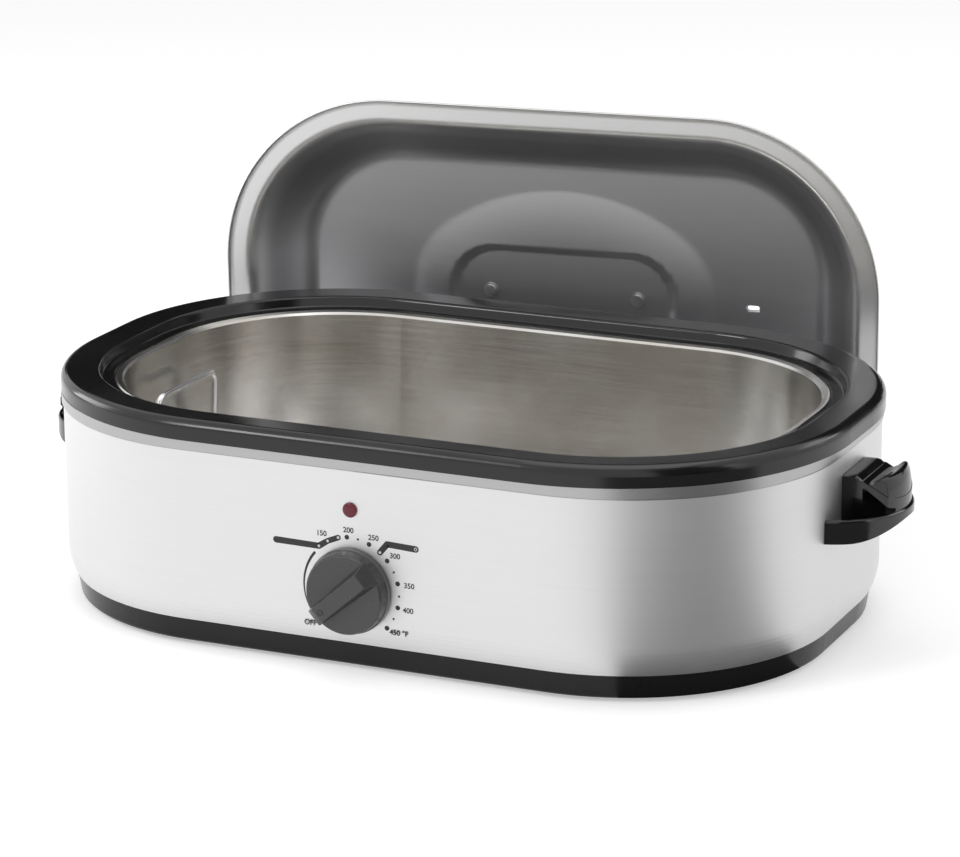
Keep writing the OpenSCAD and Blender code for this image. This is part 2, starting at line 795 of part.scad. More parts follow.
module roasting_rack() {
    frame_r = pan_r - pan_draft - 8;
    frame_z = pan_floor_z + pan_t + rack_leg_h;
    bow_x = spine_x + frame_r;
    bow_in = 5;
    wires = floor((spine_x + frame_r * 0.8) / wire_pitch);
    // the legs stand on the flat of the pan's floor, under a cross wire
    leg_x = wire_pitch * floor(spine_x / wire_pitch);
    leg_y = spine_y + pan_r - pan_draft + pan_t - pan_corner_r - frame_wire_r - 1.5;
    color("#d0d0d0") {
        swept() translate([frame_r, frame_z]) circle(frame_wire_r, $fn = 24);
        for (i = [-wires:wires]) {
            past = max(0, abs(i * wire_pitch) - spine_x);
            reach = spine_y + sqrt(pow(frame_r, 2) - pow(past, 2));
            rod([i * wire_pitch, -reach, frame_z], [i * wire_pitch, reach, frame_z], cross_wire_r);
        }
        rod([-bow_x, 0, frame_z - cross_wire_r], [bow_x, 0, frame_z - cross_wire_r], cross_wire_r);
        for (sx = [-1, 1], sy = [-1, 1]) {
            leg = [sx * leg_x, sy * leg_y, pan_floor_z + pan_t + seat_gap];
            rod(leg, leg + [0, 0, rack_leg_h], frame_wire_r);
        }
        // lifting bows at the two ends
        for (sx = [-1, 1]) {
            foot_y = bow_half_w;
            foot_x = spine_x + sqrt(pow(frame_r, 2) - pow(max(0, foot_y - spine_y), 2));
            top = [sx * (bow_x - bow_in), foot_y, frame_z + bow_h];
            for (sy = [-1, 1]) {
                corner = [top[0], sy * top[1], top[2]];
                rod([sx * foot_x, sy * foot_y, frame_z], corner, frame_wire_r);
                translate(corner) sphere(frame_wire_r + seat_gap, $fn = 24);
            }
            rod(top - [0, 2 * foot_y, 0], top, frame_wire_r);
        }
    }
}

// ---- Lid

wall_start = lid_r - lid_flange_w;
lid_steps = 14;
function wall_point(s) = [wall_start - lid_wall_w * s, lid_depth * (1 - cos(180 * s)) / 2];
function wall_normal(s) = let (d = [lid_depth * PI / 2 * sin(180 * s), lid_wall_w]) d / norm(d);

// A step pressed into the lid's flat top, towards +Z: its plan is children(0), and the inside's children(1)
module pressed(z, h) {
    difference() {
        translate([0, 0, z]) linear_extrude(h + lid_t) children(0);
        translate([0, 0, z - 1]) linear_extrude(h + 1) children(1);
    }
}

module lid_shell() {
    oval_half = [115, 78];
    oval_end = 60;
    vent_x = -150;
    inner = [for (i = [0:lid_steps]) wall_point(i / lid_steps)];
    outer = [for (i = [lid_steps:-1:0]) wall_point(i / lid_steps) + lid_t * wall_normal(i / lid_steps)];
    color("#8d8d8d")
    on_lid() difference() {
        union() {
            difference() {
                union() {
                    swept() polygon(concat(
                        [[lid_r, -lid_hem_h], [lid_r - lid_t, -lid_hem_h], [lid_r - lid_t, 0]], inner,
                        [[0, lid_depth], [0, lid_depth + lid_t]], outer,
                        [[lid_r - lid_t / 2, lid_t], [lid_r, lid_t / 2]]));
                    middle(lid_depth, lid_depth + lid_t);
                }
                translate([0, 0, lid_depth - 1]) linear_extrude(lid_t + 2)
                    oval(oval_half[0] - lid_t, oval_half[1] - lid_t, oval_end - lid_t);
            }
            difference() {
                pressed(lid_depth, emboss_h) {
                    oval(oval_half[0], oval_half[1], oval_end);
                    oval(oval_half[0] - lid_t, oval_half[1] - lid_t, oval_end - lid_t);
                }
                translate([0, 0, lid_depth]) linear_extrude(2 * emboss_h)
                    slot(recess_half[0] - lid_t, recess_half[1] - lid_t);
            }
            // the recess under the handle goes back down to the level of the flat top
            translate([0, 0, lid_depth]) difference() {
                linear_extrude(emboss_h + lid_t) slot(recess_half[0], recess_half[1]);
                translate([0, 0, lid_t]) linear_extrude(emboss_h + 1)
                    slot(recess_half[0] - lid_t, recess_half[1] - lid_t);
            }
        }
        translate([vent_x, 0, lid_depth - 1]) linear_extrude(lid_t + 2) slot(4.5, 1.75);
        for (s = [-1, 1])
            translate([s * lid_screw_x, 0, 0]) cylinder(r = lid_screw_r + 0.2, h = 2 * lid_depth);
    }
}

lid_screw_r = 2;
lid_screw_l = 12;
lid_screw_x = grip_half - 12;
lid_seat = lid_depth + lid_t;

module lid_handle() {
    half_w = 12;
    bar_t = 9;
    foot_l = 24;
    shoulder_r = 12;
    shoulder_in = 16;
    gap_half = grip_half - foot_l;
    color("#0f0f0f")
    on_lid() difference() {
        intersection() {
            translate([0, half_w, lid_seat]) rotate([90, 0, 0]) linear_extrude(2 * half_w)
                polygon(concat(
                    [[-grip_half, 0], [-gap_half, 0]],
                    arc(8 - gap_half, grip_h - bar_t - 8, 8, 180, 90, 5),
                    arc(gap_half - 8, grip_h - bar_t - 8, 8, 90, 0, 5),
                    [[gap_half, 0], [grip_half, 0]],
                    arc(grip_half - shoulder_in, grip_h - shoulder_r, shoulder_r, 20, 90, 5),
                    arc(shoulder_in - grip_half, grip_h - shoulder_r, shoulder_r, 90, 160, 5)));
            translate([-grip_half - 1, 0, lid_seat]) rotate([90, 0, 90]) linear_extrude(2 * grip_half + 2)
                polygon(concat([[-half_w, 0], [half_w, 0]],
                    arc(half_w - 5, grip_h - 5, 5, 0, 90, 5), arc(5 - half_w, grip_h - 5, 5, 90, 180, 5)));
        }
        for (s = [-1, 1])
            translate([s * lid_screw_x, 0, lid_seat - 1])
                cylinder(r = lid_screw_r + seat_gap, h = lid_screw_l + 1);
    }
}

washer_t = 1;
module lid_washers() {
    color("#c2c2c2")
    on_lid() for (s = [-1, 1])
        translate([s * lid_screw_x, 0, lid_depth - washer_t]) difference() {
            cylinder(r = 5.5, h = washer_t);
            translate([0, 0, -1]) cylinder(r = lid_screw_r + 0.2, h = washer_t + 2);
        }
}

module lid_screws() {
    head_h = 2;
    color("#a0a0a0")
    on_lid() for (s = [-1, 1]) translate([s * lid_screw_x, 0, lid_depth - washer_t]) {
        translate([0, 0, -head_h]) cylinder(r = 4, h = head_h);
        translate([0, 0, -eps]) cylinder(r = lid_screw_r, h = lid_screw_l);
    }
}

base_pan();
rubber_feet();
base_screws();
base_posts();
heat_shield();
heating_well();
weld_nuts();
heating_bands();
band_clips();
insulation_blanket();
outer_shell();
trim_band();
rim_collar();
thermostat_body();
thermostat_bracket();
thermostat_nut();
thermostat_tabs();
thermostat_shaft();
control_knob();
knob_spring();
indicator_lens();
indicator_clip();
neon_lamp();
left_handle();
right_handle();
handle_plates();
handle_screws();
cord_gland();
gland_nut();
terminal_block();
terminal_screws();
roasting_pan();
roasting_rack();
lid_shell();
lid_handle();
lid_washers();
lid_screws();
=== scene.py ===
import json
import math

import bmesh
import bpy
from mathutils import Matrix, Vector


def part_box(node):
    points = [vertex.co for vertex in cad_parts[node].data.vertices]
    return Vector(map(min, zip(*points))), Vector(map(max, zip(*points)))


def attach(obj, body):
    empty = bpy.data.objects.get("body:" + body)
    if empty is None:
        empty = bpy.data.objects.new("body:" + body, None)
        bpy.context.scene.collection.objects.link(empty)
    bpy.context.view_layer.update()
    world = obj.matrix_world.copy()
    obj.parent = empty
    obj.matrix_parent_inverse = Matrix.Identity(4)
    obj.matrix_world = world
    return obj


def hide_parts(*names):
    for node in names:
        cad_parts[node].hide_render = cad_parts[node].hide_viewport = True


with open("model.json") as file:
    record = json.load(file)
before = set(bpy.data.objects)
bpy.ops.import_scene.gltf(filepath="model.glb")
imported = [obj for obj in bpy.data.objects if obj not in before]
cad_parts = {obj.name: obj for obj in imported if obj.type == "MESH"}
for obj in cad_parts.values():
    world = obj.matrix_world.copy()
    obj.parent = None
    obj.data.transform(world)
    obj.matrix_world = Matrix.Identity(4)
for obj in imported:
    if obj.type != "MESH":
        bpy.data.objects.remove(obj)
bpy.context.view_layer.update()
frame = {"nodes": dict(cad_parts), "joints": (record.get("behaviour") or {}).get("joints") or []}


# ---- The camera
# It stands where the photograph was taken from: a long lens, 24 degrees to the right of straight ahead
# and 16 degrees above the table, with a slight roll.

turn, rise, roll = (math.radians(angle) for angle in (24.26, 16.26, -0.35))
back = Vector((math.sin(turn) * math.cos(rise), -math.cos(turn) * math.cos(rise), math.sin(rise)))
level = Vector((math.cos(turn), math.sin(turn), 0))
upright = back.cross(level)
right = level * math.cos(roll) + upright * math.sin(roll)
up = upright * math.cos(roll) - level * math.sin(roll)
camera = bpy.data.objects.new("camera", bpy.data.cameras.new("camera"))
bpy.context.scene.collection.objects.link(camera)
facing = Matrix((right, up, back)).transposed().to_4x4()
camera_place = (1.0560, -2.3264, 0.8624)
camera.matrix_world = Matrix.Translation(camera_place) @ facing
camera.data.sensor_width = 36
camera.data.lens = 146.77
bpy.context.scene.camera = camera


# ---- The base
# A gloss black moulding with a rolled lower edge, which the steel housing sits on. It stands on four
# pressed-in rubber feet, and four zinc-plated screws go up through hollow posts into the heated well.

class Line:
    """A wire of a finish. A sum on it adds Math nodes to that finish."""

    def __init__(self, finish, socket):
        self.finish, self.socket = finish, socket

    def sum(self, operation, *values):
        return self.finish.node("Math", {"operation": operation}, dict(enumerate(values)))

    def __add__(self, other):
        return self.sum("ADD", self, other)

    def __sub__(self, other):
        return self.sum("SUBTRACT", self, other)

    def __rsub__(self, other):
        return self.sum("SUBTRACT", other, self)

    def __mul__(self, other):
        return self.sum("MULTIPLY", self, other)

    __radd__ = __add__
    __rmul__ = __mul__


class Finish:
    """A procedural material: a Principled shader with a base colour and values for its other sockets."""

    def __init__(self, name, colour, **values):
        self.material = bpy.data.materials.new(name)
        self.material.use_nodes = True
        self.tree = self.material.node_tree
        self.shader = self.tree.nodes["Principled BSDF"]
        self.feed("Base Color", colour)
        for socket, value in values.items():
            self.feed(socket.replace("_", " "), value)

    def node(self, kind, settings={}, sockets={}, out=0):
        made = self.tree.nodes.new("ShaderNode" + kind)
        for name, value in settings.items():
            setattr(made, name, value)
        for name, value in sockets.items():
            self.join(made.inputs[name], value)
        return Line(self, made.outputs[out])

    def join(self, socket, value):
        if isinstance(value, Line):
            self.tree.links.new(value.socket, socket)
        elif socket.type == "RGBA":
            socket.default_value = (*value, 1)
        else:
            socket.default_value = value

    def feed(self, socket, value):
        self.join(self.shader.inputs[socket], value)
        return self

    def at(self, *stretch):
        """The place on the piece in metres, stretched along each axis."""
        place = self.node("TexCoord", out="Object")
        return self.node("VectorMath", {"operation": "MULTIPLY"}, {0: place, 1: stretch or (1, 1, 1)})

    def noise(self, scale, detail=3, roughness=0.5, stretch=()):
        return self.node("TexNoise", {}, {"Vector": self.at(*stretch), "Scale": scale, "Detail": detail,
                                          "Roughness": roughness})

    def between(self, value, low, high, to_low=0, to_high=1):
        """Smoothly from to_low to to_high as value goes from low to high."""
        return self.node("MapRange", {"interpolation_type": "SMOOTHSTEP"},
                         {0: value, 1: low, 2: high, 3: to_low, 4: to_high})

    def mix(self, share, first, second):
        return self.node("Mix", {"data_type": "RGBA"}, {0: share, 6: first, 7: second}, out=2)

    def bump(self, height, depth):
        """Relief of a depth in metres."""
        relief = self.node("Bump", {}, {"Height": height, "Distance": depth, "Strength": 1})
        return self.feed("Normal", relief)


def dress(finish, *names):
    """Gives CAD nodes their finish."""
    for name in names:
        frame["nodes"][name].material_slots[0].material = finish.material


base_gloss = Finish("base_gloss", (0.006, 0.006, 0.0065), Specular_IOR_Level=0.3)
smears = base_gloss.noise(14, 4)
base_gloss.feed("Roughness", base_gloss.between(smears, 0.3, 0.7, 0.2, 0.3))
base_gloss.bump(base_gloss.noise(380, 2), 0.00003)
dress(base_gloss, "base_pan")

foot_rubber = Finish("foot_rubber", (0.02, 0.02, 0.02), Roughness=0.85)
dust = foot_rubber.noise(260, 5)
foot_rubber.feed("Base Color", foot_rubber.mix(dust, (0.012, 0.012, 0.012), (0.035, 0.034, 0.033)))
foot_rubber.bump(foot_rubber.noise(1400, 3), 0.00008)
dress(foot_rubber, "rubber_feet")

zinc_plate = Finish("zinc_plate", (0.6, 0.61, 0.62), Metallic=1)
cells = zinc_plate.node("TexVoronoi", {}, {"Vector": zinc_plate.at(), "Scale": 420}, out="Color")
clouds = zinc_plate.noise(90, 4)
zinc_plate.feed("Base Color", zinc_plate.mix(clouds, (0.5, 0.51, 0.53), (0.66, 0.66, 0.65)))
zinc_plate.feed("Roughness", 0.28 + 0.16 * zinc_plate.node("SeparateColor", {}, {0: cells}))
zinc_plate.bump(clouds, 0.00005)
dress(zinc_plate, "base_screws", "base_posts", "weld_nuts", "band_clips", "thermostat_bracket",
      "indicator_clip", "knob_spring", "handle_plates", "handle_screws", "lid_washers", "lid_screws")


# ---- The heated well
# A dark enamelled steel trough under the pan, with two woven heating tapes clipped round it, a sheet of
# aluminium under it to throw the heat back, and a blanket of mineral fibre round it.

well_enamel = Finish("well_enamel", (0.1, 0.1, 0.105), Roughness=0.35)
specks = well_enamel.between(well_enamel.noise(900, 2), 0.6, 0.66)
well_enamel.feed("Base Color", well_enamel.mix(specks, (0.085, 0.086, 0.09), (0.3, 0.3, 0.3)))
well_enamel.bump(well_enamel.noise(140, 3), 0.00008)
dress(well_enamel, "heating_well")

rolled_aluminium = Finish("rolled_aluminium", (0.8, 0.8, 0.8), Metallic=1)
roll_lines = rolled_aluminium.noise(1, 3, stretch=(8, 900, 900))
rolled_aluminium.feed("Roughness", 0.22 + 0.2 * roll_lines)
rolled_aluminium.bump(roll_lines, 0.00002)
dress(rolled_aluminium, "heat_shield")

glass_tape = Finish("glass_tape", (0.35, 0.32, 0.27), Roughness=0.9)
warp, weft = (glass_tape.node("TexWave", {"bands_direction": way}, {"Vector": glass_tape.at(), "Scale": 260})
              for way in ("DIAGONAL", "Z"))
glass_tape.feed("Base Color", glass_tape.mix(warp * weft, (0.16, 0.14, 0.12), (0.5, 0.46, 0.38)))
glass_tape.bump(warp + weft, 0.0003)
dress(glass_tape, "heating_bands")

mineral_wool = Finish("mineral_wool", (0.86, 0.84, 0.76), Roughness=1)
tufts = mineral_wool.noise(160, 8, 0.7)
mineral_wool.feed("Base Color", mineral_wool.mix(tufts, (0.62, 0.58, 0.46), (0.92, 0.9, 0.83)))
mineral_wool.bump(tufts, 0.0025)
dress(mineral_wool, "insulation_blanket")


# ---- The housing
# One band of thin satin stainless sheet, bent round and hemmed over the base. Its fine grain runs along
# the band. A rolled grey bead closes its top edge under the rim.

satin_steel = Finish("satin_steel", (0.7, 0.7, 0.705), Metallic=1)
grain = satin_steel.noise(1, 4, 0.65, stretch=(9, 9, 2200))
cloud = satin_steel.noise(7, 2)
satin_steel.feed("Base Color", satin_steel.mix(grain, (0.66, 0.66, 0.665), (0.74, 0.74, 0.745)))
satin_steel.feed("Roughness", 0.38 + 0.12 * grain + 0.06 * cloud)
satin_steel.bump(grain, 0.000012)
dress(satin_steel, "outer_shell")

bead_steel = Finish("bead_steel", (0.42, 0.42, 0.42), Metallic=1)
roll_marks = bead_steel.noise(1, 3, stretch=(12, 12, 1800))
bead_steel.feed("Roughness", 0.24 + 0.16 * roll_marks)
bead_steel.bump(roll_marks, 0.00002)
dress(bead_steel, "trim_band")


# ---- The rim
# A gloss black moulding snapped over the top of the housing. Its outer edge is rounded, its flat top
# steps down to a ledge that the lid rests on, and a lip inside that carries the pan's flange.

rim_gloss = Finish("rim_gloss", (0.007, 0.007, 0.0075), Specular_IOR_Level=0.5)
rim_gloss.feed("Roughness", rim_gloss.between(rim_gloss.noise(11, 4), 0.3, 0.7, 0.13, 0.22))
rim_gloss.bump(rim_gloss.noise(160, 2), 0.00003)
dress(rim_gloss, "rim_collar")


# ---- The roasting pan
# It is drawn in one piece from polished stainless sheet, and hangs by its flange on the rim's lip. Heat has
# left faint straw-coloured clouds on its inside.

pan_polish = Finish("pan_polish", (0.66, 0.65, 0.63), Metallic=1)
draw_lines = pan_polish.noise(1, 3, stretch=(14, 14, 700))
tarnish = pan_polish.between(pan_polish.noise(9, 5, 0.6), 0.35, 0.75)
pan_polish.feed("Base Color", pan_polish.mix(tarnish, (0.68, 0.675, 0.66), (0.57, 0.54, 0.49)))
pan_polish.feed("Roughness", 0.14 + 0.14 * draw_lines)
pan_polish.bump(draw_lines, 0.00002)
dress(pan_polish, "roasting_pan")


# ---- The roasting rack
# Bright plated wire: a hoop with cross wires welded over it, four legs that stand on the pan's floor, and
# at each end a bow, bent from one wire, to lift the rack out by.

spine = Vector((0.118, 0.023))


def outline(out, long_steps=1, short_steps=1, turn_steps=16):
    """Points round the roaster in plan, anticlockwise, a distance outside its long rectangular spine."""
    corners = [Vector((x * spine.x, y * spine.y)) for x, y in ((1, -1), (1, 1), (-1, 1), (-1, -1))]
    points = []
    for quarter, corner in enumerate(corners):
        for step in range(turn_steps + 1):
            angle = (quarter - 1 + step / turn_steps) * math.pi / 2
            points.append(corner + out * Vector((math.cos(angle), math.sin(angle))))
        steps = short_steps if quarter % 2 == 0 else long_steps
        ahead = corners[(quarter + 1) % 4] - corner
        points += [points[-1] + ahead * step / steps for step in range(1, steps)]
    return points


def own(piece, finish, body, slot, *nodes):
    """Dresses a piece, lets it ride on a body, and lets it stand for CAD nodes."""
    piece.data.materials.append(finish.material)
    bpy.context.scene.collection.objects.link(piece)
    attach(piece, body)
    if nodes:
        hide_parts(*nodes)
    return piece


wire_plate = Finish("wire_plate", (0.78, 0.78, 0.79), Metallic=1)
wire_plate.feed("Roughness", 0.08 + 0.14 * wire_plate.noise(120, 3))

hoop_out, hoop_z, hoop_wire = 0.105, 0.0488, 0.0025
cross_wire, cross_gap, cross_each_side = 0.0016, 0.03, 6
leg_x, leg_y, leg_h = 0.09, 0.1178, 0.012
bow_foot_x, bow_top_x, bow_half_w, bow_h, bow_bend = 0.2213, 0.218, 0.042, 0.076, 0.009
rack = bpy.data.curves.new("roasting_rack_wires", "CURVE")
rack.dimensions = "3D"
rack.bevel_depth = hoop_wire
rack.bevel_resolution = 6
rack.use_fill_caps = True


def wire(points, thickness, closed=False):
    """A wire of the rack through points in metres."""
    spline = rack.splines.new("POLY")
    spline.points.add(len(points) - 1)
    spline.use_cyclic_u = closed
    spline.use_smooth = True
    for place, point in zip(spline.points, points):
        place.co = (*point, 1)
        place.radius = thickness / hoop_wire


def bend(before, corner, after, radius, steps=8):
    """Points of a bend at a corner between two others."""
    start = corner + (before - corner).normalized() * radius
    end = corner + (after - corner).normalized() * radius
    shares = [step / steps for step in range(steps + 1)]
    return [start.lerp(corner, share).lerp(corner.lerp(end, share), share) for share in shares]


wire([(*point, hoop_z) for point in outline(hoop_out, turn_steps=24)], hoop_wire, closed=True)
for place in range(-cross_each_side, cross_each_side + 1):
    across = cross_gap * place
    reach = spine.y + math.sqrt(hoop_out ** 2 - max(0, abs(across) - spine.x) ** 2)
    wire([(across, -reach, hoop_z), (across, reach, hoop_z)], cross_wire)
long_wire = [(side * (spine.x + hoop_out), 0, hoop_z - cross_wire) for side in (-1, 1)]
wire(long_wire, cross_wire)
for side in (-1, 1):
    for edge in (-1, 1):
        wire([(side * leg_x, edge * leg_y, hoop_z - leg_h), (side * leg_x, edge * leg_y, hoop_z)], hoop_wire)
    feet = [Vector((side * bow_foot_x, edge * bow_half_w, hoop_z)) for edge in (-1, 1)]
    tops = [Vector((side * bow_top_x, edge * bow_half_w, hoop_z + bow_h)) for edge in (-1, 1)]
    first_bend = bend(feet[0], tops[0], tops[1], bow_bend)
    second_bend = bend(tops[0], tops[1], feet[1], bow_bend)
    wire([feet[0], *first_bend, *second_bend, feet[1]], hoop_wire)
own(bpy.data.objects.new("roasting_rack_wires", rack), wire_plate, "rack", "rack_chrome", "roasting_rack")


# ---- The controls
# A thermostat behind the panel turns with a moulded grey knob: a stepped disc with a pointer bar across
# it. Above it sits a small dark red lens with a neon lamp behind it.

phenolic = Finish("phenolic", (0.12, 0.07, 0.04), Roughness=0.5)
phenolic.feed("Base Color", phenolic.mix(phenolic.noise(700, 4), (0.06, 0.035, 0.02), (0.2, 0.12, 0.07)))
dress(phenolic, "thermostat_body")

turned_brass = Finish("turned_brass", (0.78, 0.62, 0.32), Metallic=1)
turned_brass.feed("Roughness", 0.2 + 0.2 * turned_brass.noise(600, 3))
dress(turned_brass, "thermostat_nut", "thermostat_tabs", "thermostat_shaft", "terminal_screws")

lens_glow = Finish("lens_glow", (0.15, 0.002, 0.018), Roughness=0.16)
lens_glow.bump(lens_glow.noise(300, 2), 0.00002)
dress(lens_glow, "indicator_lens")

neon_glass = Finish("neon_glass", (0.95, 0.8, 0.7), Roughness=0.08, Transmission_Weight=0.7)
dress(neon_glass, "neon_lamp")


# ---- The print round the dial
# Black ink on the steel: dots and plain numbers for the temperatures, a line that thins towards off, and two
# bars that set off the low and the middle range, with rings and dots left pale in them.

dial = next(joint for joint in frame["joints"] if joint["name"] == "knob_turn")["pos_m"]
panel_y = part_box("outer_shell")[0][1]
mm = 0.001

print_ink = Finish("print_ink", (0.02, 0.02, 0.021), Roughness=0.45)
grey_specks = print_ink.mix(print_ink.noise(900, 4), (0.008, 0.008, 0.008), (0.03, 0.03, 0.031))
print_ink.feed("Base Color", grey_specks)
pale_ink = Finish("pale_ink", (0.75, 0.75, 0.75), Roughness=0.45)
pale_specks = pale_ink.mix(pale_ink.noise(900, 4), (0.68, 0.68, 0.68), (0.82, 0.82, 0.82))
pale_ink.feed("Base Color", pale_specks)

# Heights of the ink over the steel, in millimetres: each layer lies a little over the one before.
ink_under, ink, ink_over, dot_ink, ring_ink, word_ink = 0.01, 0.05, 0.06, 0.08, 0.1, 0.04


def on_dial(across, high, out=0):
    """A point in millimetres from the dial's axis, to the right, up and out of the panel."""
    return Vector((dial[0] + across * mm, panel_y - out * mm, dial[2] + high * mm))


def shape(name, work, finish, body, slot, *nodes, smooth=True):
    """Turns a bmesh into a piece."""
    bmesh.ops.remove_doubles(work, verts=work.verts, dist=1e-6)
    bmesh.ops.recalc_face_normals(work, faces=work.faces)
    mesh = bpy.data.meshes.new(name)
    work.to_mesh(mesh)
    work.free()
    mesh.polygons.foreach_set("use_smooth", [smooth] * len(mesh.polygons))
    return own(bpy.data.objects.new(name, mesh), finish, body, slot, *nodes)


def patch(work, points, thick):
    """A thin flat area of ink with an outline in dial millimetres."""
    low, high = ([work.verts.new(on_dial(across, up_by, out)) for across, up_by in points]
                 for out in (ink_under, thick))
    work.faces.new(low)
    work.faces.new(high)
    for here in range(len(points)):
        after = (here + 1) % len(points)
        work.faces.new((low[here], low[after], high[after], high[here]))


def spot(work, across, high, radius, thick):
    """A round dot of ink."""
    ways = [math.tau * step / 24 for step in range(24)]
    patch(work, [(across + radius * math.cos(way), high + radius * math.sin(way)) for way in ways], thick)


def stroke(work, points, widths, thick):
    """A line of ink along points, as wide as said at each, with a dot a little lower at each point."""
    for (place, width), (after, next_width) in zip(zip(points, widths), zip(points[1:], widths[1:])):
        along = (Vector(after) - Vector(place)).normalized()
        aside = Vector((-along.y, along.x))
        start, end = Vector(place), Vector(after)
        patch(work, [start + aside * width / 2, start - aside * width / 2,
                     end - aside * next_width / 2, end + aside * next_width / 2], thick)
    for (across, high), width in zip(points, widths):
        spot(work, across, high, width / 2, thick - 0.015)


marks = bmesh.new()
mark_out, mark_middle = 34.8, (-0.8, 0.5)
for radius, angles in ((1.65, (-3, 23.6, 50, 77, 104, 132)), (0.8, (10, 64, 91, 118))):
    for angle in angles:
        across = mark_middle[0] + mark_out * math.sin(math.radians(angle))
        high = mark_middle[1] + mark_out * math.cos(math.radians(angle))
        spot(marks, across, high, radius, ink)
line_out, line_steps = 34, 30
sweep = [math.radians(-50 - 75 * step / line_steps) for step in range(line_steps + 1)]
stroke(marks, [(line_out * math.sin(way), line_out * math.cos(way)) for way in sweep],
       [1.9 - 1.4 * step / line_steps for step in range(line_steps + 1)], ink)
shape("dial_marks", marks, print_ink, "housing", "base_black", smooth=False)

bars = bmesh.new()
stroke(bars, [(-53.7, 27.4), (-22.8, 26.9), (-16.5, 31), (-8.9, 34.2)], [4.4, 4.2, 3.8, 3.8], ink)
stroke(bars, [(20.8, 27.9), (26, 34.1), (46.1, 33.2)], [4, 4.2, 4.4], ink_over)
shape("dial_bars", bars, print_ink, "housing", "base_black", smooth=False)

pale = bmesh.new()
for across, high, radius in (
        (-22.8, 26.9, 0.95),
        (-16.5, 31, 0.95),
        (-8.9, 34.2, 0.95),
        (20.8, 27.9, 0.95),
        (46.1, 33.2, 1.15)):
    spot(pale, across, high, radius, dot_ink)
shape("dial_bar_dots", pale, pale_ink, "housing", "housing_steel", smooth=False)
heart = bmesh.new()
spot(heart, 46.1, 33.2, 0.7, ring_ink)
shape("dial_bar_ring", heart, print_ink, "housing", "base_black", smooth=False)

for name, words, across, high in (
        ("150", "150", -20.8, 35.6),
        ("200", "200", -1.5, 40),
        ("250", "250", 16.3, 37),
        ("300", "300", 31.4, 26.6),
        ("350", "350", 41.2, 7.7),
        ("400", "400", 40.3, -9.1),
        ("450", "450 \u00b0F", 33.5, -25.2),
        ("off", "OFF", -30, -26.4)):
    letters = bpy.data.curves.new("dial_" + name, "FONT")
    letters.body = words
    letters.size = 5 * mm
    letters.offset = 0.12 * mm
    letters.extrude = 0.02 * mm
    letters.align_x = letters.align_y = "CENTER"
    text = own(bpy.data.objects.new("dial_" + name, letters), print_ink, "housing", "base_black")
    text.location = on_dial(across, high, word_ink)
    text.rotation_euler = (math.pi / 2, 0, 0)


# ---- The knob
# One hollow moulding in satin dark grey: a stepped disc, and across it a bar to grip. The bar's far end
# flares down to the disc, and its near end slopes to the tip, which has a small pressed ring as its mark.

knob_satin = Finish("knob_satin", (0.036, 0.036, 0.038), Specular_IOR_Level=0.7)
knob_satin.feed("Roughness", knob_satin.between(knob_satin.noise(70, 4), 0.3, 0.7, 0.26, 0.36))
knob_satin.bump(knob_satin.noise(2600, 2), 0.00001)

disc_r, disc_h, disc_edge_h, disc_t = 28.5, 12.8, 5, 1.2
bar_h, bar_w = 19.85, 12
off = math.radians(-131)


def on_knob(across, along, out):
    """A point in millimetres on the knob: across the bar, along it towards its tip, and out of the panel."""
    sine, cosine = math.sin(off), math.cos(off)
    return on_dial(across * cosine + along * sine, along * cosine - across * sine, out)


def turned(work, profile, middle=(0, 0), steps=96):
    """A closed ring turned from a profile of radii and heights in knob millimetres."""
    rings = []
    for step in range(steps):
        sine, cosine = math.sin(math.tau * step / steps), math.cos(math.tau * step / steps)
        places = [on_knob(middle[0] + r * cosine, middle[1] + r * sine, out) for r, out in profile]
        rings.append([work.verts.new(place) for place in places])
    for here, after in zip(rings, rings[1:] + rings[:1]):
        for k in range(len(profile)):
            work.faces.new((here[k - 1], here[k], after[k], after[k - 1]))


def edged(piece, width, angle=25):
    """Rounds a piece's sharp edges a little, as a mould leaves them."""
    rounding = piece.modifiers.new("edges", "BEVEL")
    rounding.width = width
    rounding.segments = 3
    rounding.limit_method = "ANGLE"
    rounding.angle_limit = math.radians(angle)
    rounding.harden_normals = True
    return piece


disc = bmesh.new()
turned(disc, [
    (3.4, 9.6),
    (25.1, 9.6),
    (26.1, 1),
    (disc_r, 1),
    (disc_r, disc_edge_h),
    (disc_r - 0.7, disc_edge_h + 0.6),
    (disc_r - 1.5, disc_h - 1.6),
    (disc_r - 2.6, disc_h),
    (0.4, disc_h),
    (0.4, disc_h - disc_t),
    (3.4, disc_h - disc_t)])
edged(shape("control_knob_disc", disc, knob_satin, "knob", "knob_grey", "control_knob"), 0.0003)

bar = bmesh.new()
half = bar_w / 2
for across, along, out in (
        (half - 0.6, 20.8, bar_h),
        (half - 0.6, -20, bar_h),
        (half, 24, bar_h - 3),
        (half, 28.7, disc_h - 1),
        (half + 0.4, 28.7, 3),
        (half + 0.6, -15, disc_h - 2),
        (half + 2.6, -26.9, disc_h - 1),
        (half + 2.6, -26.2, disc_h - 3)):
    for side in (-1, 1):
        bar.verts.new(on_knob(side * across, along, out))
hull = bmesh.ops.convex_hull(bar, input=bar.verts)
bmesh.ops.delete(bar, geom=list({*hull["geom_interior"], *hull["geom_unused"]}), context="VERTS")
bmesh.ops.dissolve_limit(bar, angle_limit=math.radians(2), verts=bar.verts, edges=bar.edges)
edged(shape("control_knob_bar", bar, knob_satin, "knob", "knob_grey"), 0.0007)

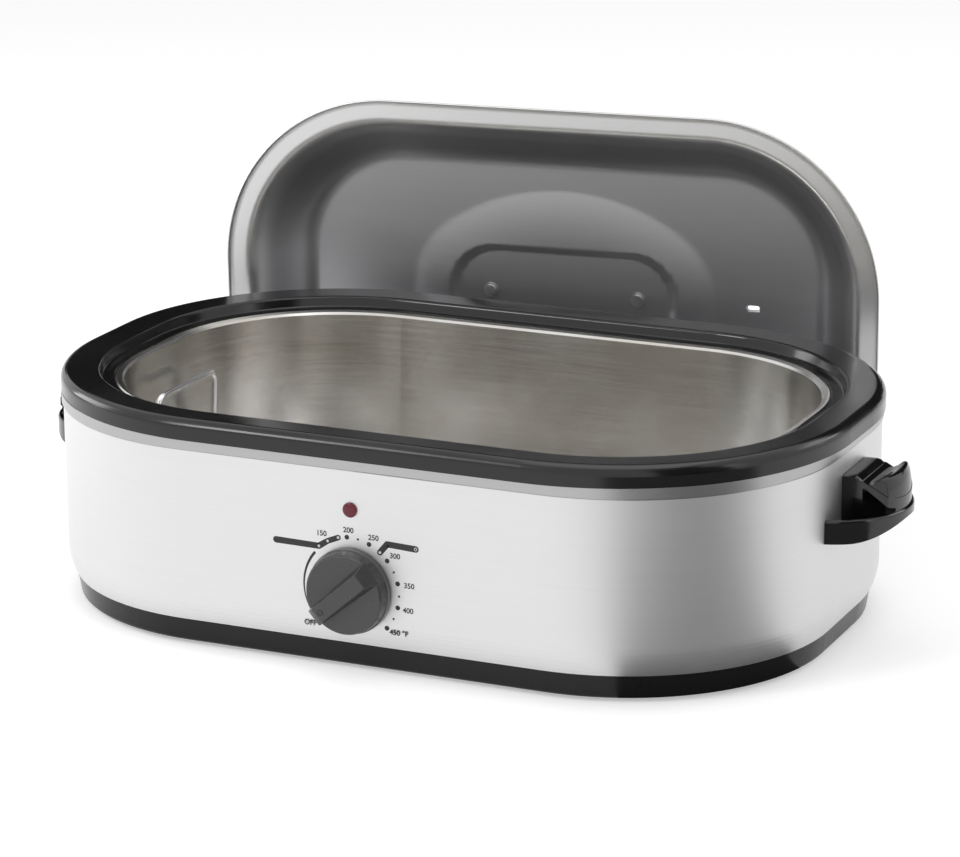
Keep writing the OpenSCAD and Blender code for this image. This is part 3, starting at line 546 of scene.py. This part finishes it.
ring_in, ring_out, ring_along, ring_low, ring_top = 1.3, 2.1, 17.2, 18.6, bar_h + 0.14
ring = bmesh.new()
turned(ring, [(ring_in, ring_low), (ring_out, ring_low), (ring_out, ring_top), (ring_in, ring_top)],
       (0, ring_along), 32)
shape("control_knob_mark", ring, print_ink, "knob", "knob_grey")


# ---- The side handles
# Each is a gloss black scoop with a flared lip round a block, screwed through the end of the housing. A
# raised saddle on the block gives the thumbs a hold, and a cap closes the block at the wall.

handle_gloss = Finish("handle_gloss", (0.006, 0.006, 0.0065), Specular_IOR_Level=0.6)
handle_gloss.feed("Roughness", handle_gloss.between(handle_gloss.noise(40, 4), 0.3, 0.7, 0.1, 0.18))
handle_gloss.bump(handle_gloss.noise(500, 2), 0.00003)
dress(handle_gloss, "left_handle", "right_handle", "lid_handle")
for name in ("left_handle", "right_handle", "lid_handle"):
    edged(frame["nodes"][name], 0.0007, 40)

# Sections are in millimetres out from the housing's end and up from the table. The handle's front is an arc
# in plan, whose middle lies inside the housing, and the saddle narrows with it.
handle_reach = 39
end_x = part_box("right_handle")[1][0] / mm - handle_reach
front_r, front_middle, saddle_root, flat_below = 53.2, -16, 15.2, 116
grip_steps, grip_droop = 24, 0.8
saddle = [(16.5, 119.3), (21, 119.4), (25, 121), (28.5, 123.4), (31, 124.4), (33.2, 123.8), (35.2, 120.5),
          (36.6, 114), (37.1, 106.5), (34, 108), (16.5, 118)]
cap = [(0.05, 119), (0.05, 122.9), (0.8, 123.8), (8.6, 123.9), (11, 123.2), (13.6, 120.6), (12.5, 118)]
for side, body_side in ((-1, "left"), (1, "right")):
    grip = bmesh.new()
    for section, half_w, fitted in ((saddle, 23.4, True), (cap, 23.8, False)):
        slices = []
        for step in range(grip_steps + 1):
            aside = half_w * math.sin(math.pi * (step / grip_steps - 0.5))
            sunk = grip_droop * (1 - math.cos(math.pi / 2 * (abs(aside) / half_w) ** 6))
            reach = front_middle + math.sqrt(front_r ** 2 - aside ** 2)
            shrink = (reach - saddle_root) / (front_middle + front_r - saddle_root) if fitted else 1
            points = [(saddle_root + (out - saddle_root) * shrink, high - sunk * (high > flat_below))
                      for out, high in section]
            slices.append([grip.verts.new(Vector((side * (end_x + out), aside, high)) * mm)
                           for out, high in points])
        for first, second in zip(slices, slices[1:]):
            for k in range(len(section)):
                grip.faces.new((first[k - 1], first[k], second[k], second[k - 1]))
        grip.faces.new(slices[0])
        grip.faces.new(slices[-1])
    edged(shape(body_side + "_handle_grip", grip, handle_gloss, "housing", "handle_black"), 0.0005, 40)


# ---- The cord entry
# A nylon gland and its nut in the back of the housing, and a steatite block of three terminals inside.

nylon = Finish("nylon", (0.02, 0.02, 0.02), Roughness=0.5)
nylon.bump(nylon.noise(1500, 2), 0.00005)
dress(nylon, "cord_gland", "gland_nut")

steatite = Finish("steatite", (0.82, 0.8, 0.75), Roughness=0.7)
steatite.feed("Base Color", steatite.mix(steatite.noise(500, 5), (0.74, 0.71, 0.66), (0.88, 0.86, 0.82)))
dress(steatite, "terminal_block")


# ---- The lid
# A deep dome pressed from grey satin steel sheet, with a flat hemmed flange, a dished oval in its top round
# the flat seat of the handle, and a steam slot. Lifted off, it stands on its long edge behind the housing.

lid_out, lid_flange, lid_wall, lid_dome, lid_sheet, hem_h = 127, 14, 42, 46, 1, 2.5
dish_h, dish_w = 3, 40
lid_place, lid_turn, lid_lean = (-0.028, 0.1999, 0), math.radians(6.8), math.radians(1.5)
upended = Matrix(((-1, 0, 0, 0), (0, 0, 1, 0), (0, 1, 0, 0), (0, 0, 0, 1)))
standing = (Matrix.Translation(lid_place)
            @ Matrix.Rotation(lid_turn, 4, "Z") @ Matrix.Rotation(lid_lean, 4, "X")
            @ Matrix.Translation((0, 0, spine.y + lid_out * mm)) @ upended)
into_dome = standing.col[2].xyz

lid_satin = Finish("lid_satin", (0.5, 0.5, 0.5), Metallic=1)
lid_grain = lid_satin.noise(1, 4, 0.6, stretch=(12, 12, 1500))
# Painted light and shade: the base colour is pale grey on the flat flange and goes darker from 1 to 20 mm
# down into the dome. Each grain tone carries this painted shade.
depth = lid_satin.node("VectorMath", {"operation": "DOT_PRODUCT"}, {0: lid_satin.at(), 1: into_dome},
                       out="Value")
painted_dome_shade = lid_satin.between(depth - into_dome.dot(standing.translation), 0.001, 0.02)
dark_grain_and_painted_shade = lid_satin.mix(painted_dome_shade, (0.65, 0.65, 0.65), (0.36, 0.36, 0.37))
pale_grain_and_painted_shade = lid_satin.mix(painted_dome_shade, (0.71, 0.71, 0.71), (0.42, 0.42, 0.43))
lid_satin.feed("Base Color", lid_satin.mix(lid_grain, dark_grain_and_painted_shade, pale_grain_and_painted_shade))
lid_satin.feed("Roughness", 0.28 + 0.1 * lid_grain + 0.08 * painted_dome_shade)
lid_satin.bump(lid_grain, 0.00001)


def ease(value, low, high):
    """Smoothly from 0 to 1 as value goes from low to high."""
    share = min(1, max(0, (value - low) / (high - low)))
    return share * share * (3 - 2 * share)


def oval_gap(x, y, end_middle=55, end_r=60, half_w=78):
    """How far a point of the lid's top lies outside the pressed oval, which is made of four arcs."""
    side_r = (end_middle ** 2 + half_w ** 2 - end_r ** 2) / (2 * (half_w - end_r))
    drop = side_r - half_w
    if abs(x) * drop > (abs(y) + drop) * end_middle:
        return math.hypot(abs(x) - end_middle, y) - end_r
    return math.hypot(x, abs(y) + drop) - side_r


def seat_gap(x, y, half_l=83, half_w=32):
    """How far a point of the lid's top lies outside the seat of the handle."""
    return math.hypot(max(0, abs(x) - half_l + half_w), y) - half_w


def top_height(x, y):
    """Height of the inside of the lid's top, dished inside the oval, and flat where the handle sits."""
    inwards = min(1, max(0, -oval_gap(x, y) / dish_w))
    sunk = dish_h * (1 - (1 - inwards) ** 2)
    return lid_dome - sunk * (1 - ease(-seat_gap(x, y), -2.5, 0.5))


wall_out = lid_out - lid_flange
wall_steps, top_steps = 36, 64
profile = [
    (lid_out - lid_sheet, -hem_h),
    (lid_out - lid_sheet, -0.9),
    (lid_out - 1.3, -0.25),
    (lid_out - 2, 0),
    (lid_out - 5, 0),
    (wall_out + 4, 0),
    (wall_out + 1.5, 0)]
for k in range(wall_steps + 1):
    share = k / wall_steps
    profile.append((wall_out - lid_wall * share, lid_dome * math.sin(math.pi / 2 * share ** 0.85) ** 2))
rounds = {"long_steps": 60, "short_steps": 10, "turn_steps": 32}
lid = bmesh.new()
sheets = []
for thick in (0, lid_sheet):
    rings = []
    for k, (out, height) in enumerate(profile):
        before, after = Vector(profile[max(0, k - 1)]), Vector(profile[min(k + 1, len(profile) - 1)])
        along = (after - before).normalized()
        points = outline((out + along.y * thick) * mm, **rounds)
        rings.append([(point.x / mm, point.y / mm, height - along.x * thick) for point in points])
    top_edge = rings[-1]
    for k in range(1, top_steps):
        share = 1 - k / top_steps
        ring = [(x * share, y * share) for x, y, height in top_edge]
        rings.append([(x, y, top_height(x, y) + thick) for x, y in ring])
    sheets.append([[lid.verts.new(standing @ (Vector(point) * mm)) for point in ring] for ring in rings])
    middle = lid.verts.new(standing @ (Vector((0, 0, top_height(0, 0) + thick)) * mm))
    last = sheets[-1][-1]
    for k in range(len(last)):
        lid.faces.new((last[k - 1], last[k], middle))
inner, outer = sheets
for first, second in [*zip(inner, inner[1:]), *zip(outer, outer[1:]), (inner[0], outer[0])]:
    for k in range(len(first)):
        lid.faces.new((first[k - 1], first[k], second[k], second[k - 1]))
lid_piece = shape("lid_dome", lid, lid_satin, "lid", "lid_steel", "lid_shell")

slot_x, slot_half_l, slot_half_w, slot_steps = -143, 4.5, 1.75, 32
steam = bmesh.new()
rings = []
for height in (lid_dome - 3, lid_dome + 4):
    ring = []
    for step in range(slot_steps):
        angle = math.tau * (step + 0.5) / slot_steps
        shift = math.copysign(slot_half_l - slot_half_w, math.cos(angle))
        place = (slot_x + shift + slot_half_w * math.cos(angle), slot_half_w * math.sin(angle), height)
        ring.append(steam.verts.new(standing @ (Vector(place) * mm)))
    rings.append(ring)
    steam.faces.new(ring)
for k in range(slot_steps):
    steam.faces.new((rings[0][k - 1], rings[0][k], rings[1][k], rings[1][k - 1]))
bmesh.ops.recalc_face_normals(steam, faces=steam.faces)
punch_mesh = bpy.data.meshes.new("steam_punch")
steam.to_mesh(punch_mesh)
steam.free()
punch = bpy.data.objects.new("steam_punch", punch_mesh)
bpy.context.scene.collection.objects.link(punch)
cut = lid_piece.modifiers.new("steam_slot", "BOOLEAN")
cut.operation = "DIFFERENCE"
cut.solver = "EXACT"
cut.object = punch
bpy.context.view_layer.update()
pierced = bpy.data.meshes.new_from_object(lid_piece.evaluated_get(bpy.context.evaluated_depsgraph_get()))
lid_piece.modifiers.clear()
lid_piece.data = pierced
bpy.data.objects.remove(punch)


# ---- The studio
# A white floor that runs into a white surround, and soft lamps at the front, left, right, back and top. Dark
# cards, out of the camera's sight, stand and lie where the gloss and the steel should mirror something dark.

surround = bpy.data.worlds.new("surround")
surround.use_nodes = True
bpy.context.scene.world = surround
bpy.context.scene.view_settings.view_transform = "Standard"


def show(tree, shown, lit, out):
    """Joins two shaders in a tree: what the eye, metal and glass see, and what lights the rest."""
    path = tree.nodes.new("ShaderNodeLightPath")
    ray = path.outputs["Is Camera Ray"]
    for other in ("Is Glossy Ray", "Is Transmission Ray"):
        either = tree.nodes.new("ShaderNodeMath")
        either.operation = "MAXIMUM"
        tree.links.new(ray, either.inputs[0])
        tree.links.new(path.outputs[other], either.inputs[1])
        ray = either.outputs[0]
    choice = tree.nodes.new("ShaderNodeMixShader")
    for socket, link in zip(choice.inputs, (ray, lit.outputs[0], shown.outputs[0])):
        tree.links.new(link, socket)
    tree.links.new(choice.outputs[0], out)


sky = surround.node_tree
white, soft = sky.nodes["Background"], sky.nodes.new("ShaderNodeBackground")
white.inputs["Color"].default_value = soft.inputs["Color"].default_value = (1, 1, 1, 1)
soft.inputs["Strength"].default_value = 0.5
show(sky, white, soft, sky.nodes["World Output"].inputs["Surface"])

table_white = Finish("table_white", (0.85, 0.85, 0.85), Roughness=0.9, Specular_IOR_Level=0)
shine = table_white.tree.nodes.new("ShaderNodeEmission")
shine.inputs["Strength"].default_value = 0.42
both = table_white.tree.nodes.new("ShaderNodeAddShader")
table_white.tree.links.new(table_white.shader.outputs[0], both.inputs[0])
table_white.tree.links.new(shine.outputs[0], both.inputs[1])
show(table_white.tree, both, table_white.shader, table_white.tree.nodes["Material Output"].inputs["Surface"])


def board(name, finish, *corners):
    """A flat board of the studio, from its corners in metres."""
    mesh = bpy.data.meshes.new(name)
    mesh.from_pydata(corners, [], [range(len(corners))])
    mesh.materials.append(finish.material)
    piece = bpy.data.objects.new(name, mesh)
    bpy.context.scene.collection.objects.link(piece)
    return piece


board("table", table_white, (-15, -15, 0), (15, -15, 0), (15, 15, 0), (-15, 15, 0))

card_black = Finish("card_black", (0.02, 0.02, 0.02), Roughness=1, Specular_IOR_Level=0)
card_grey = Finish("card_grey", (0.25, 0.25, 0.25), Roughness=1, Specular_IOR_Level=0)


def away(angle, distance, high):
    """A point at a distance from the middle of the front right arc, an angle right of straight ahead."""
    way = math.radians(angle)
    return (spine.x + distance * math.sin(way), -spine.y - distance * math.cos(way), high)


on_floor = 0.001
floor_edge = [away(angle, distance, on_floor)
              for angle, distance in ((24, 0.12), (18, 0.45), (15, 1.1), (84, 1.1), (78, 0.45), (74, 0.12))]
side_edge = [away(angle, 1.0, high) for angle, high in ((38, on_floor), (72, on_floor), (72, 1.6), (38, 1.6))]
back_edge = [(-2.6, 2.2, 0.3), (1.5, 2.2, 0.3), (1.5, 2.2, 1.9), (-2.6, 2.2, 1.9)]
for name, finish, corners in (
        ("floor_card", card_grey, floor_edge),
        ("side_card", card_black, side_edge),
        ("back_card", card_black, back_edge)):
    card = board(name, finish, *corners)
    card.visible_camera = card.visible_shadow = card.visible_diffuse = False


def lamp(name, place, size, power):
    """A square soft lamp that faces the middle of the roaster."""
    light = bpy.data.objects.new(name, bpy.data.lights.new(name, "AREA"))
    bpy.context.scene.collection.objects.link(light)
    light.data.size, light.data.energy = size, power
    light.location = place
    light.rotation_euler = (Vector((0, 0, 0.12)) - light.location).to_track_quat("-Z", "Y").to_euler()
    light.visible_camera = False


lamp("key", (-1.5, -2.0, 2.0), 0.8, 18.5)
lamp("left", (-1.85, 0.0, 0.65), 0.8, 8)
lamp("fill", (2.4, -1.2, 1.2), 1.6, 8.5)
lamp("behind", (1.7, 1.9, 1.5), 1.2, 7)
lamp("top", (0, 0.2, 2.6), 1.8, 10)
